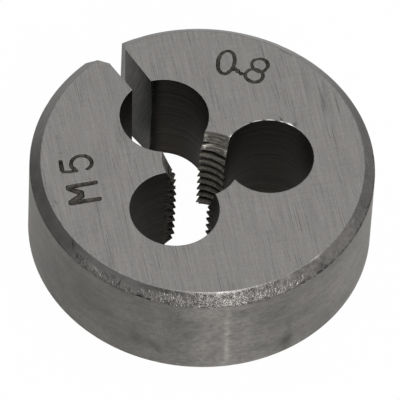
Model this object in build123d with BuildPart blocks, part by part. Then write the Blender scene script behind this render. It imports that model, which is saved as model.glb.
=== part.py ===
from build123d import *
import os
from math import acos, ceil, cos, degrees, radians, sin, tan

# Split round threading die, one turned, drilled and ground piece of tool steel.
# Millimetres. The origin is the centre of the bottom face, +Z is the bore axis
# towards the starting face, and the split runs out along +Y.

# Body
body_diameter = 25.0
body_height = 9.0
rim_chamfer = 0.8

# Thread that the die cuts: metric coarse and right-handed. Of the height of the
# sharp V, five eighths is cut, and its root is flat over an eighth of the pitch.
thread_diameter = 5.0
thread_pitch = 0.8
thread_angle = 60.0
cut_share = 5 / 8
root_flat_share = 1 / 8
thread_start_height = 0.13

# Axis of the bore and its thread, a little beside that of the body
bore_x = -0.09
bore_y = -0.12

# Lead-in cones of the bore, each with its mouth a little wider than the thread. At
# the start each land has a cone of its own, relieved behind its cutting edge.
start_mouth_clearance = 0.4
start_half_angle = 18.0
start_relief = 0.33
exit_mouth_clearance = 0.25
exit_half_angle = 36.0

# Chip holes: each breaks into the bore, and what stays between them is a cutting land
chip_hole_diameter = 6.5
chip_hole_count = 3
bore_break_in = 0.5

# Split: a sawn slot from one chip hole to the rim, a little beside the centre line
slot_direction = 90.0
slot_width = 1.58
slot_offset = 0.2

# Groove across the mouth of the split, in which the spreading screw sits, milled a
# little askew
groove_angle = 60.0
groove_depth = 2.87
groove_offset = 0.38
groove_lean = 7.0

# Conical recesses in the rim for the two closing screws, either side of the split
screw_cone_from_slot = 45.0
screw_cone_diameter = 2.6
screw_cone_angle = 90.0

# Sizes that follow from these
body_radius = body_diameter / 2
thread_radius = thread_diameter / 2
thread_depth = cut_share * thread_pitch / 2 / tan(radians(thread_angle / 2))
minor_radius = thread_radius - thread_depth
root_half_width = root_flat_share * thread_pitch / 2
start_mouth_radius = thread_radius + start_mouth_clearance
start_depth = (start_mouth_radius - minor_radius + start_relief) / tan(
    radians(start_half_angle)
)
exit_mouth_radius = thread_radius + exit_mouth_clearance
exit_depth = (exit_mouth_radius - minor_radius) / tan(radians(exit_half_angle))
chip_hole_radius = chip_hole_diameter / 2
chip_hole_reach = minor_radius + chip_hole_radius - bore_break_in
land_spacing = 360 / chip_hole_count
first_land = slot_direction + land_spacing / 2
groove_reach = 2 * groove_depth
groove_half_width = groove_reach * tan(radians(groove_angle / 2))
screw_cone_depth = screw_cone_diameter / 2 / tan(radians(screw_cone_angle / 2))

# A thread groove runs past the crests of its land by the width of its root flat,
# and past both sides of it by half of the opening that a chip hole leaves.
groove_inner_radius = minor_radius - 2 * root_half_width
groove_inner_half_width = root_half_width + (thread_radius - groove_inner_radius) * tan(
    radians(thread_angle / 2)
)
hole_half_angle = degrees(
    acos(
        (minor_radius**2 + chip_hole_reach**2 - chip_hole_radius**2)
        / (2 * minor_radius * chip_hole_reach)
    )
)
land_sweep = land_spacing - hole_half_angle
land_rise = thread_pitch * land_sweep / 360
thread_turns = ceil(body_height / thread_pitch)


# One turn of the thread where it crosses one land, climbing from +X
with BuildPart() as land_groove:
    with BuildLine() as groove_path:
        Helix(pitch=thread_pitch, height=land_rise, radius=minor_radius)
    with BuildSketch(Plane.XZ) as groove_section:
        with BuildLine():
            Polyline(
                (groove_inner_radius, -groove_inner_half_width),
                (thread_radius, -root_half_width),
                (thread_radius, root_half_width),
                (groove_inner_radius, groove_inner_half_width),
                close=True,
            )
        make_face()
    sweep(path=groove_path.line, is_frenet=True)


# Bore at the minor diameter of the thread, with a cone into its lower end
with BuildPart() as bore:
    with BuildSketch(Plane.XZ) as bore_section:
        with BuildLine():
            Polyline(
                (0, 0),
                (exit_mouth_radius, 0),
                (minor_radius, exit_depth),
                (minor_radius, body_height),
                (0, body_height),
                close=True,
            )
        make_face()
    revolve(axis=Axis.Z)


# Lead-in of one land at the upper end, a sector of a cone that starts at +X
with BuildPart() as lead_in:
    with BuildSketch(Plane.XZ) as lead_in_section:
        with BuildLine():
            Polyline(
                (0, body_height - start_depth),
                (minor_radius - start_relief, body_height - start_depth),
                (start_mouth_radius, body_height),
                (0, body_height),
                close=True,
            )
        make_face()
    revolve(axis=Axis.Z, revolution_arc=land_spacing)


# Groove for the spreading screw, its apex at the origin and its mouth towards +Y
with BuildPart() as screw_groove:
    with BuildSketch() as groove_outline:
        with BuildLine():
            Polyline(
                (0, 0),
                (groove_half_width, groove_reach),
                (-groove_half_width, groove_reach),
                close=True,
            )
        make_face()
    extrude(amount=body_height)


# Outline of the conical recess for a closing screw, a cone that points at the axis
with BuildPart() as screw_cone:
    with BuildSketch(Plane.XZ) as cone_section:
        with BuildLine():
            Polyline(
                (body_radius - screw_cone_depth, 0),
                (body_radius + screw_cone_depth, 0),
                (body_radius + screw_cone_depth, screw_cone_diameter),
                close=True,
            )
        make_face()
    revolve(axis=Axis.X)


with BuildPart() as split_die:
    # Turned blank with both rims chamfered
    Cylinder(body_radius, body_height, align=(Align.CENTER, Align.CENTER, Align.MIN))
    chamfer(split_die.edges().filter_by(GeomType.CIRCLE), rim_chamfer)

    # Chip holes, the first on the line of the split
    with BuildSketch() as chip_holes:
        with PolarLocations(chip_hole_reach, chip_hole_count, start_angle=slot_direction):
            Circle(chip_hole_radius)
    extrude(amount=body_height, mode=Mode.SUBTRACT)

    # Bore
    with Locations((bore_x, bore_y, 0)):
        add(bore.part, mode=Mode.SUBTRACT)

    # Lead-in of each land, its axis shifted away from the land's cutting edge
    for land in range(chip_hole_count):
        middle = first_land + land * land_spacing
        x = bore_x + start_relief * sin(radians(middle))
        y = bore_y - start_relief * cos(radians(middle))
        with Locations(Location((x, y, 0), (0, 0, middle - land_spacing / 2))):
            add(lead_in.part, mode=Mode.SUBTRACT)

    # Thread of the lands, one pitch higher with each turn
    for turn in range(-1, thread_turns):
        for land in range(chip_hole_count):
            height = thread_start_height + thread_pitch * (turn + land / chip_hole_count)
            angle = first_land + land * land_spacing - land_sweep / 2
            with Locations(Location((bore_x, bore_y, height), (0, 0, angle))):
                add(land_groove.part, mode=Mode.SUBTRACT)

    # Split from the first chip hole out through the rim
    with BuildSketch() as split_outline:
        with Locations((slot_offset, chip_hole_reach)):
            Rectangle(slot_width, body_radius, align=(Align.CENTER, Align.MIN))
    extrude(amount=body_height, mode=Mode.SUBTRACT)

    # Groove for the spreading screw, its apex inside the split and its mouth past the rim
    groove_apex = body_radius - groove_depth
    with Locations(Location((groove_offset, groove_apex, 0), (0, 0, groove_lean))):
        add(screw_groove.part, mode=Mode.SUBTRACT)

    # Recesses for the closing screws, at mid height
    for side in (-1, 1):
        angle = slot_direction + side * screw_cone_from_slot
        with Locations(Location((0, 0, body_height / 2), (0, 0, angle))):
            add(screw_cone.part, mode=Mode.SUBTRACT)

split_die.part.label = "split_die"
os.makedirs("parts", exist_ok=True)
export_step(split_die.part, "parts/split_die.step")
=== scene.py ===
"""Split threading die, dressed: one piece of tool steel that is turned, drilled, tapped, sawn and ground.

The scene is in metres. The die's own sizes are written in millimetres, with +Z along the bore
towards the marked face and the split running out along +Y. The blank is cut by the same holes,
bore, thread, slot and groove as the real one, then its marks are punched and its faces dressed.
"""

import logging
import math
from collections.abc import Sequence
from dataclasses import dataclass
from enum import Enum
from functools import partial

import bpy
import numpy as np
from mathutils import Matrix, Vector

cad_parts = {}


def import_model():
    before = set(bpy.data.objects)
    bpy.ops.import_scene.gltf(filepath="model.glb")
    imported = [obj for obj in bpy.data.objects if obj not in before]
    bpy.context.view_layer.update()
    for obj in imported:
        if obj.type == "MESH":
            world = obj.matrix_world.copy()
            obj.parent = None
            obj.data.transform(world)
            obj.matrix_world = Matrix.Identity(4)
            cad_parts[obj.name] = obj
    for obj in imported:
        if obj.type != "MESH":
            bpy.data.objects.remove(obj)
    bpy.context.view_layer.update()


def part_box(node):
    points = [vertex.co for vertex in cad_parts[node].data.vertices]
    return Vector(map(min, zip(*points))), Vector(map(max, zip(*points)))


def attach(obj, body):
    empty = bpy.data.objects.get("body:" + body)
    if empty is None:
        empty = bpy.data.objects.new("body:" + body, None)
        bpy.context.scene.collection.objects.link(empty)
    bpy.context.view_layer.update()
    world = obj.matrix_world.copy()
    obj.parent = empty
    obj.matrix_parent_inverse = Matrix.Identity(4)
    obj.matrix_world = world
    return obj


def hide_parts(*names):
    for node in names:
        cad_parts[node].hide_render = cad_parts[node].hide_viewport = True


log = logging.getLogger("split_die")

MM = 0.001
Point = tuple[float, ...]

# Directions on the die, and what keeps the level part of a position
ACROSS: Point = (1.0, 0.0, 0.0)
ALONG: Point = (0.0, 1.0, 0.0)
UP: Point = (0.0, 0.0, 1.0)
LEVEL: Point = (1.0, 1.0, 0.0)

# The axis of the bore and its thread, a little beside that of the rim
BORE_AXIS: Point = (-0.09, -0.12, 0.0)

# The value about which every noise swings, and how near two points are one
NOISE_MEAN = 0.5
WELD = 0.0005

# How far a face looks up or down, from 0 to 1: more than this on a cone, an edge and a flat face
ON_CONE = 0.2
ON_EDGE = 0.75
ON_FACE = 0.9999


class Region(Enum):
    """The surfaces of the die that are finished in their own way."""

    FACE = "ground_face"
    CHAMFER = "pitted_chamfer"
    WALL = "rim_wall"
    HOLE = "drilled_hole"
    LEAD_IN = "lead_in_cone"
    THREAD = "cut_thread"
    SLOT = "sawn_slot"
    GROOVE = "milled_groove"
    MARK = "punched_mark"
    EDGE = "bright_edge"


Materials = dict[Region, bpy.types.Material]


@dataclass(frozen=True)
class Socket:
    """An output in a node tree, on which Python's operators write Math nodes."""

    nodes: "NodeWriter"
    link: bpy.types.NodeSocket

    def __add__(self, other: "Value") -> "Socket":
        """Sum of two values."""
        return self.nodes.math("ADD", self, other)

    def __sub__(self, other: "Value") -> "Socket":
        """Difference of two values."""
        return self.nodes.math("SUBTRACT", self, other)

    def __mul__(self, other: "Value") -> "Socket":
        """Product of two values."""
        return self.nodes.math("MULTIPLY", self, other)

    def __truediv__(self, other: "Value") -> "Socket":
        """Quotient of two values."""
        return self.nodes.math("DIVIDE", self, other)

    def __rsub__(self, other: "Value") -> "Socket":
        """A number less this value."""
        return self.nodes.math("SUBTRACT", other, self)

    def __pow__(self, other: "Value") -> "Socket":
        """This value raised to a power."""
        return self.nodes.math("POWER", self, other)

    def swing(self, reach: "Value") -> "Socket":
        """This noise, swinging about nothing and multiplied by a reach."""
        return (self - NOISE_MEAN) * reach

    def rise(self, base: float, more: float) -> "Socket":
        """A base to which this mask adds more."""
        return self * more + base

    __radd__ = __add__
    __rmul__ = __mul__


Value = Socket | float


@dataclass(frozen=True)
class NodeWriter:
    """Writes nodes into a shader or geometry tree."""

    tree: bpy.types.NodeTree

    def node(self, kind: str, settings: dict | None = None, values: dict | None = None) -> bpy.types.Node:
        """Adds a node.

        Args:
            kind: The node's type.
            settings: Its properties, set before anything else.
            values: What its sockets hold, by name or number: a number, a vector or another Socket.

        Returns:
            The node.
        """
        node = self.tree.nodes.new(kind)
        for name, setting in (settings or {}).items():
            setattr(node, name, setting)
        for key, value in (values or {}).items():
            if isinstance(value, Socket):
                self.tree.links.new(value.link, node.inputs[key])
            else:
                node.inputs[key].default_value = value
        return node

    def out(
        self,
        kind: str,
        settings: dict | None = None,
        values: dict | None = None,
        output: str | int = 0,
    ) -> Socket:
        """Adds a node and returns one of its outputs, given by name or number."""
        return Socket(self, self.node(kind, settings, values).outputs[output])

    def math(self, operation: str, *values: Value) -> Socket:
        """One Math node on one or two values."""
        return self.out("ShaderNodeMath", {"operation": operation}, dict(enumerate(values)))

    def vector(self, operation: str, *values: "Socket | Point", scale: Value | None = None) -> Socket:
        """One Vector Math node.

        Args:
            operation: What it does.
            values: The vectors that it takes.
            scale: The number that a vector is scaled by, if it is.

        Returns:
            A number for a dot product or a length, and a vector for the rest.
        """
        filled = dict(enumerate(values)) | ({} if scale is None else {"Scale": scale})
        output = "Value" if operation in ("DOT_PRODUCT", "LENGTH") else "Vector"
        return self.out("ShaderNodeVectorMath", {"operation": operation}, filled, output)

    def step(self, value: Value, low: float, high: float, start: float = 0.0, end: float = 1.0) -> Socket:
        """A smooth step of value, from start at low to end at high."""
        values = {"Value": value, "From Min": low, "From Max": high, "To Min": start, "To Max": end}
        return self.out("ShaderNodeMapRange", {"interpolation_type": "SMOOTHSTEP"}, values)

    def grain(
        self,
        place: Socket,
        size: Point,
        turn: float = 0.0,
        tip: float = 0.0,
        detail: float = 2.0,
        shift: float = 0.0,
    ) -> Socket:
        """Noise whose grains have their own length, width and height.

        Args:
            place: The position in millimetres.
            size: The grain's size along the turned X, Y and Z, in millimetres.
            turn: How far it is turned about Z, in degrees.
            tip: How far it is turned about X, in degrees.
            detail: How many octaves of finer noise it holds.
            shift: Moves the pattern, so that two grains of one size differ.

        Returns:
            A value about the mean of noise.
        """
        values = {
            "Vector": place,
            "Location": (shift, shift, shift),
            "Rotation": (math.radians(tip), 0.0, math.radians(turn)),
            "Scale": size,
        }
        turned = self.out("ShaderNodeMapping", {"vector_type": "TEXTURE"}, values)
        return self.out("ShaderNodeTexNoise", values={"Vector": turned, "Scale": 1.0, "Detail": detail})

    def wander(self, place: Socket, size: float, reach: float, detail: float = 2.0) -> Socket:
        """The position moved about by noise, so that what is drawn at it gets ragged borders.

        Args:
            place: The position in millimetres.
            size: The size of the noise's grains in millimetres.
            reach: How far it moves at most, to each side.
            detail: How many octaves of finer noise it holds.

        Returns:
            The moved position.
        """
        values = {"Vector": place, "Scale": 1.0 / size, "Detail": detail}
        noise = self.out("ShaderNodeTexNoise", values=values, output="Color")
        centred = self.vector("SUBTRACT", noise, (NOISE_MEAN, NOISE_MEAN, NOISE_MEAN))
        return self.vector("ADD", place, self.vector("SCALE", centred, scale=2.0 * reach))

    def radius(self, place: Socket, axis: Point = (0.0, 0.0, 0.0)) -> Socket:
        """How far a position is from an upright axis."""
        away = self.vector("SUBTRACT", place, axis)
        return self.vector("LENGTH", self.vector("MULTIPLY", away, LEVEL))

    def facing(self, place: Socket, angle: float, spread: float, soft: float) -> Socket:
        """A mask of the sector of the die round an angle.

        Args:
            place: The position in millimetres.
            angle: The middle of the sector, in degrees from +X.
            spread: Half of its width in degrees.
            soft: The width of its soft border in degrees.

        Returns:
            1 inside the sector and 0 outside.
        """
        flat = self.vector("NORMALIZE", self.vector("MULTIPLY", place, LEVEL))
        turn = math.radians(angle)
        dot = self.vector("DOT_PRODUCT", flat, (math.cos(turn), math.sin(turn), 0.0))
        outer = math.cos(math.radians(spread + soft / 2))
        inner = math.cos(math.radians(spread - soft / 2))
        return self.step(dot, outer, inner)

    def rays(self) -> dict[str, Socket]:
        """What kind of ray meets a surface.

        Returns:
            1 or 0 for each kind, by its name.
        """
        path = self.node("ShaderNodeLightPath")
        kinds = ("Camera", "Glossy", "Transmission")
        return {kind: Socket(self, path.outputs[f"Is {kind} Ray"]) for kind in kinds}


@dataclass(frozen=True)
class Spot:
    """A soft-bordered place on a surface; spots serve for marks of use and making, for painted highlights and
    for painted shade.

    Args:
        centre: Its middle, in millimetres.
        axes: The directions that it stretches in, each with its half width.
        amount: How deep or how bright it is; below nothing, how proud or how dark.
    """

    centre: Point
    axes: tuple[tuple[Point, float], ...]
    amount: float

    @classmethod
    def on_rim(
        cls,
        radius: float,
        angle: float,
        height: float,
        width: float,
        length: float,
        amount: float,
        lean: float = 0.0,
    ) -> "Spot":
        """A spot on the wall or the upper chamfer.

        Args:
            radius: The radius of the rim.
            angle: Where it is, in degrees from +X.
            height: How far above the bottom face.
            width: Its half width round the rim.
            length: Its half length up the rim.
            amount: Its strength.
            lean: How far its length leans from upright towards larger angles, in degrees.

        Returns:
            The spot.
        """
        turn, tip = math.radians(angle), math.radians(lean)
        outward = Vector((math.cos(turn), math.sin(turn), 0.0))
        sideways = Vector((-math.sin(turn), math.cos(turn), 0.0))
        upward = Vector(UP)
        centre = outward * radius + upward * height
        across = sideways * math.cos(tip) - upward * math.sin(tip)
        along = sideways * math.sin(tip) + upward * math.cos(tip)
        axes = ((tuple(across), width), (tuple(along), length), (tuple(outward), radius / 3.0))
        return cls(tuple(centre), axes, amount)

    @classmethod
    def on_face(
        cls, x: float, y: float, width: float, length: float, amount: float, turn: float = 0.0
    ) -> "Spot":
        """A spot as seen from above, the same at every height.

        Args:
            x: Where it is along X.
            y: Where it is along Y.
            width: Its half width.
            length: Its half length.
            amount: Its strength.
            turn: How far its length is turned from +X, in degrees.

        Returns:
            The spot.
        """
        cosine, sine = math.cos(math.radians(turn)), math.sin(math.radians(turn))
        axes = (((cosine, sine, 0.0), length), ((-sine, cosine, 0.0), width))
        return cls((x, y, 0.0), axes, amount)

    def field(self, nodes: NodeWriter, place: Socket) -> Socket:
        """How strong the spot is at every point.

        Args:
            nodes: The writer for the tree.
            place: The position in millimetres.

        Returns:
            Its strength.
        """
        away = nodes.vector("SUBTRACT", place, self.centre)
        total: Value = 0.0
        for direction, reach in self.axes:
            along = nodes.vector("DOT_PRODUCT", away, direction) / reach
            total = along * along + total
        return nodes.math("EXPONENT", total * -1.0) * self.amount


@dataclass(frozen=True)
class Texture:
    """What varies over a surface: tone multiplies its colour, and height is in millimetres."""

    tone: Socket
    roughness: Socket
    height: Socket


@dataclass(frozen=True)
class SteelFinish:
    """A steel surface, from which each finish of the die is made.

    A noise is given by the size of its grain in millimetres. The tone, rough and depth of that
    name say how far it changes the colour, the roughness and the height, and its range says where
    it sets in and where it is full. A pull or a drift is how far another noise moves it.
    """

    name: str
    colour: Point
    roughness: float
    metallic: float = 1.0
    anisotropic: float = 0.0
    quarter_turns: float = 0.0
    mottle_size: float = 0.6
    mottle_tone: float = 0.4
    mottle_rough: float = 0.2
    mottle_depth: float = 0.01
    spots: tuple[Spot, ...] = ()
    ragged: float = 0.1
    faintest: float = 0.05

    def texture(self, nodes: NodeWriter, place: Socket) -> Texture:
        """Plain steel with a faint mottle.

        Args:
            nodes: The writer for the material's tree.
            place: The position in millimetres.

        Returns:
            The texture.
        """
        mottle = nodes.grain(place, (self.mottle_size, self.mottle_size, self.mottle_size), detail=4.0)
        tone = 1.0 + mottle.swing(self.mottle_tone)
        roughness = self.roughness + mottle.swing(self.mottle_rough)
        return Texture(tone, roughness, mottle * self.mottle_depth)

    def marked(self, nodes: NodeWriter, place: Socket, texture: Texture) -> Texture:
        """A texture with the finish's spots laid over it.

        Args:
            nodes: The writer for the material's tree.
            place: The position in millimetres.
            texture: The texture below the spots.

        Returns:
            The texture, its tone changed by each spot.
        """
        if not self.spots:
            return texture
        moved = nodes.wander(place, 2.0 * self.ragged, self.ragged)
        total: Value = 1.0
        for spot in self.spots:
            total = spot.field(nodes, moved) + total
        tone = texture.tone * nodes.math("MAXIMUM", total, self.faintest)
        return Texture(tone, texture.roughness, texture.height)

    def material(self) -> bpy.types.Material:
        """The material with this finish.

        Returns:
            A new material.
        """
        material = bpy.data.materials.new(self.name)
        material.use_nodes = True
        nodes = NodeWriter(material.node_tree)
        metres = nodes.out("ShaderNodeTexCoord", output="Object")
        place = nodes.vector("SCALE", metres, scale=1 / MM)
        texture = self.marked(nodes, place, self.texture(nodes, place))
        bump = nodes.out("ShaderNodeBump", values={"Distance": MM, "Height": texture.height})
        shader = material.node_tree.nodes["Principled BSDF"]
        shader.inputs["Metallic"].default_value = self.metallic
        shader.inputs["Anisotropic"].default_value = self.anisotropic
        shader.inputs["Anisotropic Rotation"].default_value = self.quarter_turns / 4.0
        tone = nodes.vector("SCALE", self.colour, scale=texture.tone)
        for name, value in {"Base Color": tone, "Roughness": texture.roughness, "Normal": bump}.items():
            material.node_tree.links.new(value.link, shader.inputs[name])
        material.diffuse_color = (*self.colour, 1.0)
        return material


@dataclass(frozen=True)
class GroundFinish(SteelFinish):
    """A surface-ground face: fine straight lines one way, with some streaks and spots."""

    line_angle: float = 65.4
    fine_line: Point = (3.5, 0.07, 1.0)
    fine_tone: float = 0.6
    fine_depth: float = 0.009
    middle_line: Point = (7.0, 0.24, 1.0)
    middle_tone: float = 0.27
    middle_depth: float = 0.006
    broad_line: Point = (24.0, 1.1, 1.0)
    broad_tone: float = 0.12
    scratch_line: Point = (3.6, 0.075, 1.0)
    scratch_skew: float = 1.5
    scratch_range: Point = (0.62, 0.74)
    scratch_tone: float = 0.19
    scratch_rough: float = 0.1
    scratch_depth: float = 0.004
    cluster: Point = (7.0, 1.4, 1.0)
    cluster_pull: float = 0.5
    glint_range: Point = (0.3, 0.24)
    glint_tone: float = 0.16
    cross_line: Point = (2.2, 0.08, 1.0)
    cross_skew: float = 92.0
    cross_tone: float = 0.26
    stain: Point = (2.0, 1.5, 1.0)
    stain_tone: float = 0.25
    stain_rough: float = 0.2
    speck: Point = (0.3, 0.3, 0.3)
    speck_range: Point = (0.71, 0.77)
    speck_tone: float = 0.3
    dust: Point = (0.3, 0.14, 1.0)
    dust_tone: float = 0.3

    def texture(self, nodes: NodeWriter, place: Socket) -> Texture:
        """Lines of three widths, clusters of thin scratches, faint cross lines, stains and specks.

        Args:
            nodes: The writer for the material's tree.
            place: The position in millimetres.

        Returns:
            The texture.
        """
        turn = self.line_angle
        fine = nodes.grain(place, self.fine_line, turn, detail=3.0)
        middle = nodes.grain(place, self.middle_line, turn, detail=2.0, shift=3.0)
        broad = nodes.grain(place, self.broad_line, turn, detail=1.0, shift=9.0)
        cluster = nodes.grain(place, self.cluster, turn, detail=2.0, shift=13.0)
        scratch = nodes.grain(place, self.scratch_line, turn + self.scratch_skew, detail=1.0, shift=7.0)
        cross = nodes.grain(place, self.cross_line, turn + self.cross_skew, detail=2.0, shift=17.0)
        dark = nodes.step(scratch + cluster.swing(self.cluster_pull), *self.scratch_range)
        bright = nodes.step(scratch, *self.glint_range)
        stain = nodes.grain(place, self.stain, turn, detail=5.0, shift=11.0)
        specks = nodes.step(nodes.grain(place, self.speck, detail=2.0, shift=5.0), *self.speck_range)
        dust = nodes.grain(place, self.dust, turn, detail=2.0, shift=19.0)
        lines = fine.swing(self.fine_tone) + middle.swing(self.middle_tone) + broad.swing(self.broad_tone)
        patches = cross.swing(self.cross_tone) + stain.swing(self.stain_tone) + dust.swing(self.dust_tone)
        tone = 1.0 + lines + patches
        tone = tone - dark * self.scratch_tone + bright * self.glint_tone - specks * self.speck_tone
        roughness = self.roughness + stain.swing(self.stain_rough) + dark * self.scratch_rough
        height = fine * self.fine_depth + middle * self.middle_depth - dark * self.scratch_depth
        return Texture(tone, roughness, height)


@dataclass(frozen=True)
class ChamferFinish(SteelFinish):
    """A turned chamfer: smooth at the back, lumpy at the left and finely pitted at the front.

    A sector is its middle, half its width and its soft border, in degrees. Two tones, depths or
    shares are what holds all over, and what a sector or the lower half adds. The low range and
    the height of the foot are millimetres above the bottom face.
    """

    lump_sector: Point = (-152.0, 20.0, 16.0)
    worm_sector: Point = (-113.0, 26.0, 26.0)
    speckle_sector: Point = (-58.0, 36.0, 30.0)
    painted_shade_sector: Point = (-124.0, 20.0, 20.0)
    painted_shade_tone: float = 0.5
    low_range: Point = (8.8, 8.48)
    low_drift: float = 1.1
    patch: Point = (1.3, 1.3, 1.3)
    patch_tone: float = 0.6
    patch_rough: float = 0.2
    patch_depth: float = 0.02
    lump: Point = (0.34, 0.34, 0.34)
    lump_tone: float = 0.9
    lump_depth: float = 0.05
    speckle_tone: float = 0.6
    worm: Point = (0.27, 0.27, 0.27)
    worm_tone: float = 1.4
    worm_depth: float = 0.012
    ridge_steepness: float = 9.0
    ridge_tones: Point = (0.08, 0.16)
    ridge_depths: Point = (0.006, 0.014)
    crumb: Point = (0.12, 0.12, 0.12)
    crumb_tones: Point = (0.25, 0.65)
    crumb_depths: Point = (0.003, 0.003)
    pit_range: Point = (0.56, 0.68)
    pit_tone: float = 0.45
    pit_rough: float = 0.15
    fleck_pull: float = 0.4
    fleck_range: Point = (0.62, 0.72)
    fleck_tone: float = 0.6
    foot_height: float = 8.24
    foot_width: float = 0.05
    foot_crumbs: float = 3.0
    foot_lumps: float = 6.0
    foot_range: Point = (1.8, 0.4)
    foot_shares: Point = (0.3, 0.35)
    foot_tone: float = 0.6
    darkest: float = 0.08

    def texture(self, nodes: NodeWriter, place: Socket) -> Texture:
        """Lumps, worm-like pits and speckles, each in a sector, chips along the lower edge, and painted shade
        over the upper front.

        Args:
            nodes: The writer for the material's tree.
            place: The position in millimetres.

        Returns:
            The texture.
        """
        height = nodes.out("ShaderNodeSeparateXYZ", values={"Vector": place}, output="Z")
        patch = nodes.grain(place, self.patch, detail=3.0, shift=4.0)
        low = nodes.step(height + patch.swing(self.low_drift), *self.low_range)
        lumpy = nodes.facing(place, *self.lump_sector) * low
        wormy = nodes.facing(place, *self.worm_sector)
        speckled = nodes.facing(place, *self.speckle_sector)
        # Painted shade over the upper half of the chamfer's front
        painted_shade = nodes.facing(place, *self.painted_shade_sector) * (1.0 - low)
        lumps = nodes.grain(place, self.lump, detail=4.0)
        worms = nodes.grain(place, self.worm, detail=2.0, shift=8.0)
        ridge = 1.0 - nodes.math("ABSOLUTE", worms - NOISE_MEAN) * self.ridge_steepness
        crumbs = nodes.grain(place, self.crumb, detail=2.0, shift=9.0)
        pits = nodes.step(lumps, *self.pit_range) * lumpy
        flecks = nodes.step(crumbs + lumps.swing(self.fleck_pull), *self.fleck_range) * lumpy
        foot = nodes.math("ABSOLUTE", height - self.foot_height) / self.foot_width
        foot = foot + crumbs.swing(self.foot_crumbs) + lumps.swing(self.foot_lumps)
        foot = nodes.step(foot, *self.foot_range) * speckled.rise(*self.foot_shares)
        uneven = lumpy * self.lump_tone + speckled * self.speckle_tone + wormy * self.worm_tone
        tone = 1.0 + patch.swing(self.patch_tone) + crumbs.swing(speckled.rise(*self.crumb_tones))
        tone = tone - pits * self.pit_tone + flecks * self.fleck_tone + lumps.swing(uneven)
        tone = tone + ridge * wormy * low.rise(*self.ridge_tones)
        tone = tone - foot * self.foot_tone - painted_shade * self.painted_shade_tone
        roughness = self.roughness + patch.swing(self.patch_rough) + pits * self.pit_rough
        relief = ridge * wormy * low.rise(*self.ridge_depths)
        relief = relief + (lumps - pits) * (lumpy * self.lump_depth + wormy * low * self.worm_depth)
        relief = relief + crumbs * speckled.rise(*self.crumb_depths) + patch * self.patch_depth
        return Texture(nodes.math("MAXIMUM", tone, self.darkest), roughness, relief)


@dataclass(frozen=True)
class TurnedFinish(SteelFinish):
    """A turned or drilled wall about Z: fine rings, mottled by use."""

    ring: float = 0.09
    ring_length: float = 9.0
    ring_tone: float = 0.25
    ring_depth: float = 0.006
    band: float = 0.6
    band_length: float = 12.0
    band_tone: float = 0.1
    band_depth: float = 0.005
    mottle: Point = (0.22, 0.22, 0.16)
    mottle_tone: float = 0.5
    mottle_rough: float = 0.25
    patch: Point = (2.6, 2.6, 1.8)
    patch_tone: float = 0.35
    patch_rough: float = 0.15
    speck: Point = (0.12, 0.12, 0.12)
    speck_pull: float = 0.3
    speck_range: Point = (0.6, 0.7)
    speck_tone: float = 0.0
    darkest: float = 0.05

    def texture(self, nodes: NodeWriter, place: Socket) -> Texture:
        """Fine rings and broad bands round the axis over a fine mottle, with dark specks.

        Args:
            nodes: The writer for the material's tree.
            place: The position in millimetres.

        Returns:
            The texture.
        """
        rings = nodes.grain(place, (self.ring_length, self.ring_length, self.ring), detail=2.0)
        bands = nodes.grain(place, (self.band_length, self.band_length, self.band), detail=2.0, shift=4.0)
        mottle = nodes.grain(place, self.mottle, detail=3.0, shift=2.0)
        patch = nodes.grain(place, self.patch, detail=4.0, shift=6.0)
        tone = 1.0 + rings.swing(self.ring_tone) + bands.swing(self.band_tone)
        tone = tone + mottle.swing(self.mottle_tone) + patch.swing(self.patch_tone)
        specks = nodes.grain(place, self.speck, detail=2.0, shift=8.0) + patch.swing(self.speck_pull)
        tone = tone - nodes.step(specks, *self.speck_range) * self.speck_tone
        roughness = self.roughness + mottle.swing(self.mottle_rough) + patch.swing(self.patch_rough)
        height = rings * self.ring_depth + bands * self.band_depth + mottle * self.mottle_depth
        return Texture(nodes.math("MAXIMUM", tone, self.darkest), roughness, height)


@dataclass(frozen=True)
class HoleFinish(TurnedFinish):
    """A drilled wall with burrs where the thread runs out into it."""

    burr_radius: float = 2.55
    burr_reach: float = 0.45
    burr: Point = (0.45, 0.45, 0.4)
    burr_middle: float = 0.48
    burr_tone: float = 6.0
    burr_depth: float = 0.15
    seam: Spot = Spot((1.15, 7.8, 0.0), ((ACROSS, 0.16), (ALONG, 1.0)), 1.0)
    chip: Point = (0.2, 0.2, 0.26)
    chip_middle: float = 0.56
    chip_tone: float = 6.0
    chip_depth: float = 0.1
    darkest_burr: float = 0.1

    def texture(self, nodes: NodeWriter, place: Socket) -> Texture:
        """The turned wall's texture, with lumps round the bore and beside the slot.

        Args:
            nodes: The writer for the material's tree.
            place: The position in millimetres.

        Returns:
            The texture.
        """
        wall = super().texture(nodes, place)
        away = nodes.radius(place, BORE_AXIS)
        near = nodes.step(away, self.burr_radius + self.burr_reach, self.burr_radius)
        lumps = nodes.grain(place, self.burr, detail=3.0, shift=5.0)
        chips = nodes.grain(place, self.chip, detail=3.0, shift=3.0)
        seam = self.seam.field(nodes, place)
        tone = wall.tone + (lumps - self.burr_middle) * near * self.burr_tone
        tone = tone + (chips - self.chip_middle) * seam * self.chip_tone
        height = wall.height + lumps * near * self.burr_depth + chips * seam * self.chip_depth
        return Texture(nodes.math("MAXIMUM", tone, self.darkest_burr), wall.roughness, height)


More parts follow.
